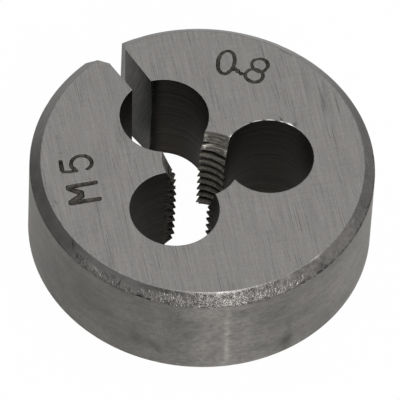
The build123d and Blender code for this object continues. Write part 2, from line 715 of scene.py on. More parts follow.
@dataclass(frozen=True)
class ThreadFinish(SteelFinish):
    """A tapped thread: burred along its crests, with painted glints on the burrs, and with painted shade and
    dirt darkening its roots.

    The range of the painted root shade and dirt is two radii, from the crests to the roots.
    """

    root_shade_and_dirt_range: Point = (2.12, 2.34)
    root_shade_and_dirt_drift: float = 0.3
    root_shade_and_dirt_tone: float = 0.88
    grime_rough: float = 0.2
    fine: Point = (0.13, 0.13, 0.09)
    fine_tone: float = 1.8
    fine_rough: float = 0.3
    fine_depth: float = 0.05
    burr_glint_range: Point = (0.58, 0.68)
    burr_tone: float = 1.6
    patch: Point = (0.8, 0.8, 0.5)
    patch_tone: float = 1.6
    patch_depth: float = 0.03
    darkest: float = 0.08

    def texture(self, nodes: NodeWriter, place: Socket) -> Texture:
        """A speckled tone with painted glints on the burrs, falling off to painted shade and dirt at the
        roots.

        Args:
            nodes: The writer for the material's tree.
            place: The position in millimetres.

        Returns:
            The texture.
        """
        fine = nodes.grain(place, self.fine, detail=3.0, shift=2.0)
        patch = nodes.grain(place, self.patch, detail=3.0, shift=6.0)
        away = nodes.radius(place, BORE_AXIS)
        # Painted shade, with dirt, darkens the roots
        root_shade_and_dirt = nodes.step(away + fine.swing(self.root_shade_and_dirt_drift), *self.root_shade_and_dirt_range)
        # Painted glints on the burrs of the crests
        burr_glints = nodes.step(fine, *self.burr_glint_range)
        tone = 1.0 + patch.swing(self.patch_tone) + fine.swing(self.fine_tone) + burr_glints * self.burr_tone
        tone = tone * (1.0 - root_shade_and_dirt * self.root_shade_and_dirt_tone)
        roughness = self.roughness + root_shade_and_dirt * self.grime_rough + fine.swing(self.fine_rough)
        height = fine * self.fine_depth + patch * self.patch_depth
        return Texture(nodes.math("MAXIMUM", tone, self.darkest), roughness, height)


@dataclass(frozen=True)
class SawnFinish(SteelFinish):
    """A sawn or milled wall that stands upright: slanting streaks."""

    slant: float = 108.4
    streak: Point = (2.5, 2.5, 0.15)
    streak_tone: float = 1.7
    streak_depth: float = 0.02
    patch: Point = (1.5, 1.5, 1.5)
    patch_tone: float = 0.5
    patch_rough: float = 0.2
    darkest: float = 0.1

    def texture(self, nodes: NodeWriter, place: Socket) -> Texture:
        """Slanting streaks of two strengths.

        Args:
            nodes: The writer for the material's tree.
            place: The position in millimetres.

        Returns:
            The texture.
        """
        streaks = nodes.grain(place, self.streak, tip=self.slant, detail=3.0)
        patch = nodes.grain(place, self.patch, detail=3.0, shift=6.0)
        tone = 1.0 + streaks.swing(self.streak_tone) + patch.swing(self.patch_tone)
        roughness = self.roughness + patch.swing(self.patch_rough)
        return Texture(nodes.math("MAXIMUM", tone, self.darkest), roughness, streaks * self.streak_depth)


def finishes(radius: float, height: float) -> list[SteelFinish]:
    """The finish of each region, with marks of use, painted highlights and painted shade laid where the
    photograph has them.

    Args:
        radius: The radius of the rim, in millimetres.
        height: The height of the marked face.

    Returns:
        One finish for each region, named after it.
    """
    rim = partial(Spot.on_rim, radius)
    face = Spot.on_face
    wall_marks_and_painted_light = (
        rim(-95.6, 1.9, 0.5, 0.75, -0.5),
        rim(-94.4, 3.4, 0.24, 1.3, -0.24, -4.0),
        rim(-147.0, 3.2, 0.9, 0.5, -0.22, 60.0),
        rim(-141.0, 2.9, 0.7, 0.35, -0.2, 55.0),
        rim(-139.0, 2.2, 0.35, 0.2, -0.22, 50.0),
        rim(-133.0, 7.0, 0.12, 0.5, -0.25, 10.0),
        rim(-132.4, 6.6, 0.1, 0.12, -0.3),
        rim(-122.9, 3.96, 0.1, 0.12, -0.4),
        rim(-74.8, 2.9, 0.2, 0.08, -0.5, 20.0),
        rim(-74.8, 5.9, 0.2, 0.12, -0.18),
        rim(-168.0, 5.5, 1.0, 1.6, -0.12),
        rim(-178.0, 5.5, 4.0, 5.0, -0.08),
        # Painted sheen and a painted highlight streak down the front of the wall
        rim(-122.5, 4.5, 1.2, 6.0, 0.14),
        rim(-116.5, 3.6, 0.2, 4.2, 0.4),
        rim(-116.2, 3.6, 0.5, 5.0, 0.12),
        rim(-135.0, 6.0, 0.5, 2.0, -0.12),
        # Painted light on the front right of the wall; the spot after it makes the front of the foot lighter
        rim(-70.0, 4.5, 5.0, 6.0, 0.25),
        rim(-115.0, 0.8, 6.0, 1.2, 0.22),
    )
    chamfer_marks_and_painted_light = (
        rim(-172.4, 8.37, 0.12, 0.1, -0.5),
        rim(-163.9, 8.53, 0.35, 0.05, 0.9, 12.0),
        rim(-161.5, 8.42, 0.3, 0.04, 0.6, 14.0),
        rim(-154.7, 8.42, 0.07, 0.25, -0.6, 20.0),
        rim(-156.9, 8.65, 0.15, 0.1, -0.4),
        rim(-146.5, 8.22, 0.22, 0.09, -0.85),
        rim(-143.2, 8.22, 0.16, 0.08, -0.6),
        rim(-139.3, 8.72, 0.35, 0.04, 0.7, 5.0),
        rim(-90.5, 8.2, 0.09, 0.07, -0.9),
        rim(-81.1, 8.4, 0.35, 0.25, -0.3),
        # Painted highlights: the sparkle on the front of the chamfer and a bright line along its top edge
        rim(-115.0, 8.45, 1.0, 0.22, 0.35),
        rim(-118.0, 8.98, 2.6, 0.07, 1.0),
        rim(-129.5, 8.7, 0.9, 0.3, -0.12),
        rim(-128.0, 8.36, 1.0, 0.12, -0.3),
        rim(-136.0, 8.34, 0.9, 0.14, -0.3),
        # Painted highlight along the top edge
        rim(-81.4, 8.94, 0.5, 0.05, 0.7),
        rim(-60.0, 8.78, 0.2, 0.05, 0.5),
        # Broad bands from here on, all but the thin scratch, are painted light and painted shade that set how
        # bright each side of the chamfer is
        rim(-50.0, 8.6, 3.0, 0.8, -0.16),
        rim(-70.0, 8.6, 3.0, 0.6, 0.12),
        rim(-150.0, 8.6, 2.5, 0.6, -0.12),
        rim(-176.3, 8.77, 0.045, 0.3, -0.5, -57.0),
        rim(176.0, 8.6, 3.0, 0.6, -0.27),
        rim(70.0, 8.6, 8.0, 0.6, -0.4),
        rim(148.0, 8.6, 3.0, 0.6, -0.19),
        rim(3.0, 8.6, 3.0, 0.6, -0.3),
        rim(-14.0, 8.6, 4.0, 0.6, -0.4),
    )
    face_marks_and_painted_glints = (
        face(-5.0, -3.4, 0.5, 1.6, -0.06, 65.4),
        face(10.96, -1.45, 0.07, 1.2, -0.4, 66.6),
        face(10.35, -0.6, 0.05, 0.8, -0.3, 66.6),
        face(10.2, -0.93, 0.35, 1.3, -0.14, 65.4),
        face(10.4, 1.9, 0.3, 1.6, -0.08, 65.4),
        face(8.6, -6.2, 0.5, 1.5, -0.08, 65.4),
        face(6.83, -0.22, 0.05, 0.25, -1.0, 84.0),
        # Painted glint on a burr at the rim of a chip hole
        face(7.12, -0.9, 0.07, 0.2, 1.2, -70.0),
        face(7.36, -1.15, 0.15, 0.22, -0.5, 56.0),
        # Painted glint on a burr at the rim of a chip hole
        face(3.0, 0.5, 0.05, 0.2, 1.2, -86.0),
        face(9.3, 5.6, 0.035, 0.8, -0.35, 68.6),
        face(10.6, 4.61, 0.05, 0.35, -0.5, 113.5),
        face(-7.71, 3.18, 0.03, 0.25, -0.5, 90.0),
        face(-8.15, 6.21, 0.08, 0.1, -0.3),
        face(-10.92, 2.82, 0.08, 0.2, -0.4, 100.0),
    )
    edge_spots_and_painted_glints = (
        # Painted glints on burrs along the rim of a chip hole, between darker spots
        face(2.95, 0.5, 0.12, 0.2, 4.0, -86.0),
        face(3.4, 0.72, 0.4, 0.4, -0.5),
        face(4.4, 0.85, 0.3, 0.25, 0.7),
        face(4.85, 0.8, 0.3, 0.1, -0.8, -10.0),
        face(5.3, 0.68, 0.3, 0.3, 1.8, -20.0),
        face(5.75, 0.45, 0.3, 0.09, -0.9, -30.0),
        face(6.15, 0.2, 0.3, 0.25, 2.6, -38.0),
        face(6.5, -0.12, 0.3, 0.08, -0.9, -45.0),
        face(6.75, -0.42, 0.2, 0.14, 2.0, -52.0),
        face(7.08, -0.95, 0.15, 0.22, 5.0, -64.0),
        # Painted highlights on the front of the rim's top edge
        face(1.75, -11.6, 0.1, 0.5, 1.0, 8.6),
        face(-5.4, -10.4, 1.4, 2.8, 1.1, -28.0),
    )
    hole_spots = (
        face(1.25, 7.8, 0.5, 0.42, -0.95),
        face(-2.4, 6.8, 1.4, 1.0, -0.6),
        face(-0.9, 7.9, 0.6, 0.6, -0.6),
        face(-5.6, 0.2, 1.5, 2.0, -0.15),
        face(7.3, -2.9, 1.0, 0.8, -0.3),
        face(-1.0, -3.2, 1.1, 0.7, -0.5),
    )
    # Painted light on the slot wall's outer top, a darker line just below the face, and painted shade towards
    # the bottom
    slot_painted_light_and_shade = tuple(
        Spot((1.0, y, z), ((ALONG, length), (UP, rise)), amount)
        for y, z, length, rise, amount in (
            (10.4, height, 1.6, 3.5, 0.35),
            (8.5, height - 0.2, 2.0, 0.25, -0.4),
            (8.4, 0.0, 3.0, 1.4, -0.4),
            (9.6, 0.8, 0.8, 1.0, -0.45),
        )
    )
    # Painted light: the groove's flank lighter towards the face
    groove_flank_painted_light = (Spot((0.9, 10.2, height), ((UP, 1.5),), 0.35),)
    # Painted glints on burrs at the lead-ins
    flecks = tuple(
        Spot(centre, ((ACROSS, width), (ALONG, width), (UP, length)), amount)
        for centre, width, length, amount in (
            ((1.63, 1.92, 8.65), 0.14, 0.12, 2.2),
            ((1.58, 1.8, 8.25), 0.1, 0.1, 1.6),
            ((1.6, 1.62, 7.86), 0.2, 0.1, 2.4),
            ((1.42, 1.68, 7.68), 0.12, 0.14, 4.0),
            ((1.66, 1.64, 7.72), 0.1, 0.08, 4.0),
            ((1.82, 1.5, 7.9), 0.14, 0.07, 2.0),
            ((2.4, 0.45, 7.6), 0.12, 0.3, 1.5),
            ((2.86, 0.5, 8.85), 0.12, 0.14, 4.0),
            ((2.7, 0.3, 8.4), 0.1, 0.3, 1.5),
        )
    )
    return [
        GroundFinish(Region.FACE.value, (0.215, 0.207, 0.2), 0.42, spots=face_marks_and_painted_glints, ragged=0.04),
        ChamferFinish(Region.CHAMFER.value, (0.168, 0.16, 0.153), 0.34, spots=chamfer_marks_and_painted_light, ragged=0.05),
        TurnedFinish(
            Region.WALL.value,
            (0.206, 0.197, 0.185),
            0.48,
            anisotropic=0.85,
            quarter_turns=1.0,
            mottle=(0.42, 0.42, 0.24),
            mottle_tone=0.75,
            patch=(2.8, 2.8, 1.4),
            patch_tone=0.85,
            speck_tone=0.25,
            spots=wall_marks_and_painted_light,
            ragged=0.15,
        ),
        HoleFinish(
            Region.HOLE.value,
            (0.037, 0.032, 0.027),
            0.55,
            ring=0.14,
            ring_tone=1.6,
            band_tone=0.4,
            band_depth=0.02,
            mottle_tone=1.4,
            patch_tone=0.7,
            ring_depth=0.008,
            spots=hole_spots,
            ragged=0.14,
        ),
        TurnedFinish(
            Region.LEAD_IN.value,
            (0.222, 0.209, 0.189),
            0.5,
            metallic=0.6,
            ring=0.13,
            ring_tone=2.2,
            ring_depth=0.04,
            mottle=(0.3, 0.3, 0.14),
            mottle_tone=2.4,
            mottle_depth=0.05,
            spots=flecks,
            ragged=0.06,
        ),
        ThreadFinish(Region.THREAD.value, (0.09, 0.083, 0.071), 0.4),
        SawnFinish(Region.SLOT.value, (0.07, 0.066, 0.062), 0.42, spots=slot_painted_light_and_shade),
        SawnFinish(Region.GROOVE.value, (0.064, 0.061, 0.059), 0.4, spots=groove_flank_painted_light),
        SteelFinish(Region.MARK.value, (0.05, 0.046, 0.041), 0.5, mottle_size=0.3, mottle_tone=3.4),
        SteelFinish(
            Region.EDGE.value,
            (0.21, 0.203, 0.198),
            0.34,
            mottle_size=0.25,
            mottle_tone=1.5,
            spots=edge_spots_and_painted_glints,
        ),
    ]


def linked(name: str, data: bpy.types.ID) -> bpy.types.Object:
    """A new object in the scene.

    Args:
        name: Its name.
        data: Its mesh, curve, lamp or camera.

    Returns:
        The object.
    """
    thing = bpy.data.objects.new(name, data)
    bpy.context.scene.collection.objects.link(thing)
    return thing


def mesh_object(
    name: str,
    vertices: Sequence[Point],
    faces: Sequence[Sequence[int]],
    edges: Sequence[tuple[int, int]] = (),
) -> bpy.types.Object:
    """A new object in the scene with a mesh of its own.

    Args:
        name: The object's name.
        vertices: Its points.
        faces: Its faces, as numbers of points.
        edges: Its edges, where it has no faces.

    Returns:
        The object.
    """
    mesh = bpy.data.meshes.new(name)
    mesh.from_pydata([tuple(map(float, v)) for v in vertices], list(edges), list(faces))
    return linked(name, mesh)


def polyline(name: str, points: Sequence[Point]) -> bpy.types.Object:
    """A mesh of edges only, through points in the XY plane."""
    steps = [(i, i + 1) for i in range(len(points) - 1)]
    return mesh_object(name, [(x, y, 0.0) for x, y in points], [], steps)


def bake(thing: bpy.types.Object) -> bpy.types.Object:
    """Replaces an object's mesh by its evaluated one and takes its modifiers off.

    Args:
        thing: A mesh or curve object with modifiers.

    Returns:
        A mesh object; the same one, if it was a mesh already.
    """
    graph = bpy.context.evaluated_depsgraph_get()
    mesh = bpy.data.meshes.new_from_object(thing.evaluated_get(graph), depsgraph=graph)
    name = thing.name
    mesh.name = name
    if thing.type == "MESH":
        thing.modifiers.clear()
        thing.data = mesh
        return thing
    bpy.data.objects.remove(thing)
    return linked(name, mesh)


def grow(thing: bpy.types.Object, group: bpy.types.NodeTree, **sizes: float) -> bpy.types.Object:
    """Runs a Geometry Nodes tree on an object and keeps its result as a plain mesh.

    Args:
        thing: The object that the tree starts from.
        group: The tree.
        sizes: The tree's named inputs, with underscores for spaces.

    Returns:
        The mesh object.
    """
    modifier = thing.modifiers.new("grow", "NODES")
    modifier.node_group = group
    for item in group.interface.items_tree:
        key = item.name.lower().replace(" ", "_")
        if key in sizes:
            modifier[item.identifier] = sizes[key]
    return bake(thing)


def carve(body: bpy.types.Object, cutter: bpy.types.Object) -> None:
    """Cuts a closed mesh out of the body and removes it.

    Args:
        body: The piece that is cut, whose mesh is replaced.
        cutter: The closed mesh to cut it with.
    """
    modifier = body.modifiers.new("carve", "BOOLEAN")
    modifier.object = cutter
    modifier.operation = "DIFFERENCE"
    modifier.solver = "MANIFOLD"
    modifier.material_mode = "TRANSFER"
    bake(body)
    bpy.data.objects.remove(cutter)


@dataclass
class TreeBuilder:
    """A Geometry Nodes tree with named inputs."""

    name: str

    def __post_init__(self) -> None:
        """Makes the empty tree with a geometry input and output."""
        self.group = bpy.data.node_groups.new(self.name, "GeometryNodeTree")
        self.group.interface.new_socket("Geometry", in_out="INPUT", socket_type="NodeSocketGeometry")
        self.group.interface.new_socket("Geometry", in_out="OUTPUT", socket_type="NodeSocketGeometry")
        self.nodes = NodeWriter(self.group)
        self.entry = self.group.nodes.new("NodeGroupInput")

    def size(self, name: str, integer: bool = False) -> Socket:
        """Adds a named input.

        Args:
            name: Its name.
            integer: Whether it is a count and not a size.

        Returns:
            The input's value inside the tree.
        """
        kind = "NodeSocketInt" if integer else "NodeSocketFloat"
        self.group.interface.new_socket(name, in_out="INPUT", socket_type=kind)
        return Socket(self.nodes, self.entry.outputs[name])

    def start(self) -> Socket:
        """The geometry that the tree starts from."""
        return Socket(self.nodes, self.entry.outputs["Geometry"])

    def kept(self, geometry: Socket, value: Socket) -> tuple[Socket, Socket]:
        """Keeps a value of each face as it is before the faces are moved.

        Args:
            geometry: What the tree has made so far.
            value: What is kept.

        Returns:
            The geometry and the kept value.
        """
        capture = self.nodes.node("GeometryNodeCaptureAttribute", {"domain": "FACE"})
        capture.capture_items.new("FLOAT", "Value")
        for source, name in ((geometry, "Geometry"), (value, "Value")):
            self.group.links.new(source.link, capture.inputs[name])
        return Socket(self.nodes, capture.outputs["Geometry"]), Socket(self.nodes, capture.outputs["Value"])

    def finish(
        self, geometry: Socket, materials: dict[bpy.types.Material, Socket | None]
    ) -> bpy.types.NodeTree:
        """Ends the tree in Realize Instances and Set Material.

        Args:
            geometry: What the tree has made.
            materials: Each material with the faces that it is set on, or None for all.

        Returns:
            The finished tree.
        """
        geometry = self.nodes.out("GeometryNodeRealizeInstances", values={"Geometry": geometry})
        for material, chosen in materials.items():
            values = {"Geometry": geometry, "Material": material}
            if chosen is not None:
                values["Selection"] = chosen
            geometry = self.nodes.out("GeometryNodeSetMaterial", values=values)
        self.nodes.node("NodeGroupOutput", values={"Geometry": geometry})
        return self.group


def turned(builder: TreeBuilder, profile: Socket, segments: Socket) -> Socket:
    """Turns a profile of radius (X) and height (Y) about Z, inside a Geometry Nodes tree.

    Args:
        builder: The tree.
        profile: The profile as a mesh of edges that starts and ends on the axis.
        segments: How many steps the round takes.

    Returns:
        A closed mesh, its poles merged.
    """
    nodes = builder.nodes
    unit = 1.0
    path = nodes.out("GeometryNodeCurvePrimitiveCircle", values={"Resolution": segments, "Radius": unit})
    path = nodes.out("GeometryNodeSetCurveNormal", {"mode": "Z_UP"}, {"Curve": path})
    values = {"Geometry": profile, "Translation": (-unit, 0.0, 0.0), "Scale": (1.0, -1.0, 1.0)}
    moved = nodes.out("GeometryNodeTransform", values=values)
    curve = nodes.out("GeometryNodeMeshToCurve", values={"Mesh": moved})
    surface = nodes.out("GeometryNodeCurveToMesh", values={"Curve": path, "Profile Curve": curve})
    return nodes.out("GeometryNodeMergeByDistance", values={"Geometry": surface, "Distance": WELD})


def normal_height(nodes: NodeWriter) -> Socket:
    """How far each face looks up or down, from 0 to 1, inside a Geometry Nodes tree."""
    normal = nodes.out("GeometryNodeInputNormal", output="True Normal")
    return nodes.math("ABSOLUTE", nodes.vector("DOT_PRODUCT", normal, UP))


@dataclass
class Blank:
    """The turned blank with both rims chamfered, worn and dented at the rim.

    The rings are rows of points on the flat faces, by how far they lie inside the edge of the
    flat, and the wear border is where the wear sets in, from that edge outwards.
    """

    radius: float
    height: float
    chamfer: float = 0.8
    edge_round: float = 0.1
    round_points: int = 4
    segments: int = 960
    chamfer_rows: int = 14
    wall_rows: int = 24
    face_rings: Point = (0.9, 0.45, 0.22, 0.1)
    foot_ring: float = 0.2
    wear_depth: float = 0.015
    wear_scale: float = 1.1
    wear_range: Point = (0.5, 0.8)
    wear_border: Point = (-0.05, 0.1)
    seed: float = 3.0

    @property
    def dents(self) -> list[Spot]:
        """The small hollows that use has left on the rim, each as deep as its amount."""
        rim = partial(Spot.on_rim, self.radius)
        return [
            rim(-172.4, 8.4, 0.16, 0.14, 0.04),
            rim(-163.9, 8.53, 0.2, 0.1, -0.02, 70.0),
            rim(-154.7, 8.42, 0.09, 0.28, 0.05, 20.0),
            rim(-146.5, 8.2, 0.24, 0.14, 0.1),
            rim(-143.2, 8.2, 0.16, 0.1, 0.06),
            rim(-90.5, 8.17, 0.1, 0.09, 0.08),
            rim(-68.7, 8.2, 0.3, 0.12, 0.03),
        ]

    def corner(self, radius: float, height: float, first: float, last: float) -> list[Point]:
        """Points of a small rounded edge.

        Args:
            radius: The radius at which the sharp edge would be.
            height: The height at which it would be.
            first: The direction in which the surface faces before the edge, in degrees above level.
            last: The direction in which it faces after the edge.

        Returns:
            Points from the first surface to the last, each as radius and height.
        """
        half = math.radians(first - last) / 2
        middle = math.radians(first + last) / 2
        reach = self.edge_round / math.cos(half)
        centre = (radius - reach * math.cos(middle), height - reach * math.sin(middle))
        return [
            (centre[0] + self.edge_round * math.cos(turn), centre[1] + self.edge_round * math.sin(turn))
            for turn in np.radians(np.linspace(first, last, self.round_points))
        ]

    def profile(self) -> list[Point]:
        """The section of the blank.

        Returns:
            Its points from the top pole down to the bottom pole, each as radius and height.
        """
        flat = self.radius - self.chamfer
        shoulder = self.height - self.chamfer
        # The top, the chamfer, the wall, the lower chamfer and the foot look this far up
        looks = (90.0, 45.0, 0.0, -45.0, -90.0)
        sharp = [(flat, self.height), (self.radius, shoulder), (self.radius, self.chamfer), (flat, 0.0)]
        edges = [self.corner(*place, *turn) for place, turn in zip(sharp, zip(looks, looks[1:]))]
        points = [(0.0, self.height), (flat / 2, self.height)]
        points += [(flat - gap, self.height) for gap in self.face_rings]
        rows = (self.chamfer_rows, self.wall_rows, self.chamfer_rows // 2)
        for edge, count, following in zip(edges, rows, edges[1:]):
            points += edge
            points += [tuple(p) for p in np.linspace(edge[-1], following[0], count + 1)[1:-1]]
        points += edges[-1]
        return points + [(flat - self.foot_ring, 0.0), (flat / 2, 0.0), (0.0, 0.0)]

    def tree(self, materials: Materials) -> bpy.types.NodeTree:
        """The Geometry Nodes tree that turns the profile and wears its rim.

        Args:
            materials: The materials by region.

        Returns:
            The tree.
        """
        builder = TreeBuilder("turned_blank")
        nodes = builder.nodes
        segments = builder.size("Segments", integer=True)
        wear = builder.size("Wear Depth")
        seed = builder.size("Seed")
        surface = turned(builder, builder.start(), segments)
        surface, level = builder.kept(surface, normal_height(nodes))
        place = nodes.out("GeometryNodeInputPosition")
        values = {"Vector": place, "W": seed, "Scale": self.wear_scale, "Detail": 3.0}
        waves = nodes.out("ShaderNodeTexNoise", {"noise_dimensions": "4D"}, values)
        hollow = wear * nodes.step(waves, *self.wear_range)
        for dent in self.dents:
            hollow = hollow + dent.field(nodes, place)
        flat = self.radius - self.chamfer
        near_rim = nodes.step(nodes.radius(place), *(flat + border for border in self.wear_border))
        normal = nodes.out("GeometryNodeInputNormal")
        inward = nodes.math("MAXIMUM", hollow * near_rim, 0.0)
        offset = nodes.vector("SCALE", normal, scale=inward * -1.0)
        worn = nodes.out("GeometryNodeSetPosition", values={"Geometry": surface, "Offset": offset})
        chosen = {
            materials[Region.WALL]: None,
            materials[Region.CHAMFER]: nodes.math("GREATER_THAN", level, ON_CONE),
            materials[Region.EDGE]: nodes.math("GREATER_THAN", level, ON_EDGE),
            materials[Region.FACE]: nodes.math("GREATER_THAN", level, ON_FACE),
        }
        return builder.finish(worn, chosen)

    def build(self, materials: Materials) -> bpy.types.Object:
        """Turns the blank, a closed mesh in millimetres."""
        sizes = {"segments": self.segments, "wear_depth": self.wear_depth, "seed": self.seed}
        return grow(polyline("die_body", self.profile()), self.tree(materials), **sizes)


def closed_rows(
    name: str, rows: Sequence[Sequence[Point]], bands: Sequence[bpy.types.Material]
) -> bpy.types.Object:
    """A closed mesh through rows of points, one above the other, with a cap on each end.

    Args:
        name: The object's name.
        rows: Rows of equally many points, each running counterclockwise, from the lowest up.
        bands: The material of each band between two rows.

    Returns:
        The object.
    """
    count = len(rows[0])
    faces = [tuple(reversed(range(count)))]
    kinds = [bands[0]]
    for row, band in enumerate(bands):
        for i in range(count):
            low, high = row * count, (row + 1) * count
            after = (i + 1) % count
            faces.append((low + i, low + after, high + after, high + i))
            kinds.append(band)
    faces.append(tuple(range(len(bands) * count, (len(bands) + 1) * count)))
    kinds.append(bands[-1])
    thing = mesh_object(name, [p for row in rows for p in row], faces)
    slots = list(dict.fromkeys(kinds))
    for material in slots:
        thing.data.materials.append(material)
    for face, material in zip(thing.data.polygons, kinds):
        face.material_index = slots.index(material)
    return thing


@dataclass
class ChipHoles:
    """The holes round the bore that carry the chips away, the first in line with the split."""

    height: float
    reach: float
    diameter: float = 6.5
    count: int = 3
    first_angle: float = 90.0
    edge_width: float = 0.06
    edge_depth: float = 0.015
    segments: int = 192

    def tree(self, materials: Materials) -> bpy.types.NodeTree:
        """The tree that turns one hole and sets a copy of it at each place round the bore.

        Args:
            materials: The materials by region.

        Returns:
            The tree.
        """
        builder = TreeBuilder("chip_holes")
        nodes = builder.nodes
        segments = builder.size("Segments", integer=True)
        count = builder.size("Count", integer=True)
        reach = builder.size("Reach")
        first = builder.size("First Angle")
        hole = turned(builder, builder.start(), segments)
        ring = nodes.out("GeometryNodeMeshCircle", values={"Vertices": count, "Radius": reach})
        rotation = nodes.out("ShaderNodeCombineXYZ", values={"Z": first})
        ring = nodes.out("GeometryNodeTransform", values={"Geometry": ring, "Rotation": rotation})
        holes = nodes.out("GeometryNodeInstanceOnPoints", values={"Points": ring, "Instance": hole})
        slanted = nodes.math("GREATER_THAN", normal_height(nodes), ON_CONE)
        return builder.finish(holes, {materials[Region.HOLE]: None, materials[Region.EDGE]: slanted})

    def cutter(self, materials: Materials) -> bpy.types.Object:
        """The three holes as one closed cutter.

        Args:
            materials: The materials by region.

        Returns:
            The cutter in millimetres.
        """
        radius = self.diameter / 2
        proud = self.edge_depth
        wide = radius + 2 * self.edge_width
        section = [
            (0.0, -proud),
            (wide, -proud),
            (radius, proud),
            (radius, self.height - proud),
            (wide, self.height + proud),
            (0.0, self.height + proud),
        ]
        start = polyline("chip_holes", section[::-1])
        first = math.radians(self.first_angle)
        sizes = {"segments": self.segments, "count": self.count, "reach": self.reach, "first_angle": first}
        return grow(start, self.tree(materials), **sizes)


@dataclass
class ThreadedBore:
    """The bore at the minor diameter, a cone into each end and the thread along it."""

    height: float
    thread_diameter: float = 5.0
    pitch: float = 0.8
    thread_angle: float = 60.0
    cut_share: float = 5 / 8
    root_flat_share: float = 1 / 8
    start_clearance: float = 0.4
    start_half_angle: float = 18.0
    start_relief: float = 0.33
    exit_clearance: float = 0.25
    exit_half_angle: float = 36.0
    hole_radius: float = 3.25
    break_in: float = 0.5
    lands: int = 3
    first_land: float = 150.0
    start_height: float = 0.13
    spare_turns: int = 2
    edge_width: float = 0.05
    edge_depth: float = 0.015
    steps: int = 120

    @property
    def major(self) -> float:
        """The thread's outer radius."""
        return self.thread_diameter / 2

    @property
    def minor(self) -> float:
        """The radius of the thread's crests."""
        return self.major - self.cut_share * self.pitch / 2 / math.tan(math.radians(self.thread_angle / 2))

    @property
    def hole_reach(self) -> float:
        """How far from the axis the chip holes have their centres."""
        return self.minor + self.hole_radius - self.break_in

    @property
    def start_angle(self) -> float:
        """Where a turn of the thread crosses the bottom face.

        Returns:
            The angle from +X, in degrees.
        """
        reach, hole = self.hole_reach, self.hole_radius
        opening = math.acos((self.minor**2 + reach**2 - hole**2) / (2 * self.minor * reach))
        land_sweep = 360.0 / self.lands - math.degrees(opening)
        return self.first_land - land_sweep / 2

    def lead_in_cutters(self, materials: Materials) -> list[bpy.types.Object]:
        """The lead-in of each land, a sector of a cone whose axis stands off from the cutting edge.

        Args:
            materials: The materials by region.

        Returns:
            One cutter for each land, in millimetres.
        """
        mouth = self.major + self.start_clearance
        foot = self.minor - self.start_relief
        proud, spread = self.edge_depth, self.edge_width
        depth = (mouth - foot) / math.tan(math.radians(self.start_half_angle))
        levels = [
            (foot, self.height - proud - depth),
            (mouth, self.height - proud),
            (mouth + 2 * spread, self.height + proud),
        ]
        bands = [materials[Region.LEAD_IN], materials[Region.EDGE]]
        made = []
        for land in range(self.lands):
            middle = math.radians(self.first_land + land * 360.0 / self.lands)
            across = Vector((math.sin(middle), -math.cos(middle), 0.0))
            centre = Vector(BORE_AXIS) + across * self.start_relief
            turns = middle + np.linspace(-math.pi, math.pi, self.steps // 2) / self.lands
            rows = [
                [(centre.x, centre.y, z)]
                + [(centre.x + r * math.cos(t), centre.y + r * math.sin(t), z) for t in turns]
                for r, z in levels
            ]
            made.append(closed_rows("lead_in", rows, bands))
        return made

    def bore_cutter(self, materials: Materials) -> bpy.types.Object:
        """The plain bore with the cone into its lower end.

        Args:
            materials: The materials by region.

        Returns:
            The cutter in millimetres.
        """
        exit_mouth = self.major + self.exit_clearance
        exit_slope = math.tan(math.radians(self.exit_half_angle))
        proud, spread = self.edge_depth, self.edge_width
        rows = [
            (exit_mouth + 2 * spread, -proud),
            (exit_mouth, proud),
            (self.minor, proud + (exit_mouth - self.minor) / exit_slope),
            (self.minor, self.height + proud),
        ]
        builder = TreeBuilder("tapered_bore")
        nodes = builder.nodes
        bore = turned(builder, builder.start(), builder.size("Segments", integer=True))
        level = normal_height(nodes)
        chosen = {
            materials[Region.THREAD]: None,
            materials[Region.LEAD_IN]: nodes.math("GREATER_THAN", level, ON_CONE),
            materials[Region.EDGE]: nodes.math("GREATER_THAN", level, ON_EDGE),
        }
        tree = builder.finish(bore, chosen)
        section = [(0.0, rows[0][1]), *rows, (0.0, rows[-1][1])]
        cutter = grow(polyline("bore", section[::-1]), tree, segments=2 * self.steps)
        cutter.data.transform(Matrix.Translation(BORE_AXIS))
        return cutter

    def thread_cutter(self, materials: Materials) -> bpy.types.Object:
        """The thread as one long coil with the section of its groove.

        Args:
            materials: The materials by region.

        Returns:
            The cutter in millimetres.
        """
        root = self.root_flat_share * self.pitch / 2
        inner = self.major - self.minor + 2 * root
        half = root + inner * math.tan(math.radians(self.thread_angle / 2))
        builder = TreeBuilder("thread_coil")
        nodes = builder.nodes
        turns = builder.size("Turns")
        pitch = builder.size("Pitch")
        radius = builder.size("Radius")
        steps = builder.size("Steps", integer=True)
        start = builder.size("Start Height")
        values = {
            "Resolution": steps,
            "Rotations": turns,
            "Start Radius": radius,
            "End Radius": radius,
            "Height": turns * pitch,
            "Reverse": True,
        }
        coil = nodes.out("GeometryNodeCurveSpiral", values=values)
        coil = nodes.out("GeometryNodeSetCurveNormal", {"mode": "Z_UP"}, {"Curve": coil})
        section = nodes.out("GeometryNodeMeshToCurve", values={"Mesh": builder.start()})
        values = {"Curve": coil, "Profile Curve": section, "Fill Caps": True}
        coil = nodes.out("GeometryNodeCurveToMesh", values=values)
        lift = nodes.out("ShaderNodeCombineXYZ", values={"Z": start})
        coil = nodes.out("GeometryNodeTransform", values={"Geometry": coil, "Translation": lift})
        tree = builder.finish(coil, {materials[Region.THREAD]: None})
        outline = [(-inner, -half), (0.0, -root), (0.0, root), (-inner, half)]
        ring = mesh_object("thread", [(x, y, 0.0) for x, y in outline], [], [(0, 1), (1, 2), (2, 3), (3, 0)])
        lowest = self.start_height - self.pitch * (1.0 + self.start_angle / 360.0)
        sizes = {
            "turns": float(math.ceil(self.height / self.pitch) + self.spare_turns),
            "pitch": self.pitch,
            "radius": self.major,
            "steps": self.steps,
            "start_height": lowest,
        }
        cutter = grow(ring, tree, **sizes)
        cutter.data.transform(Matrix.Translation(BORE_AXIS))
        return cutter


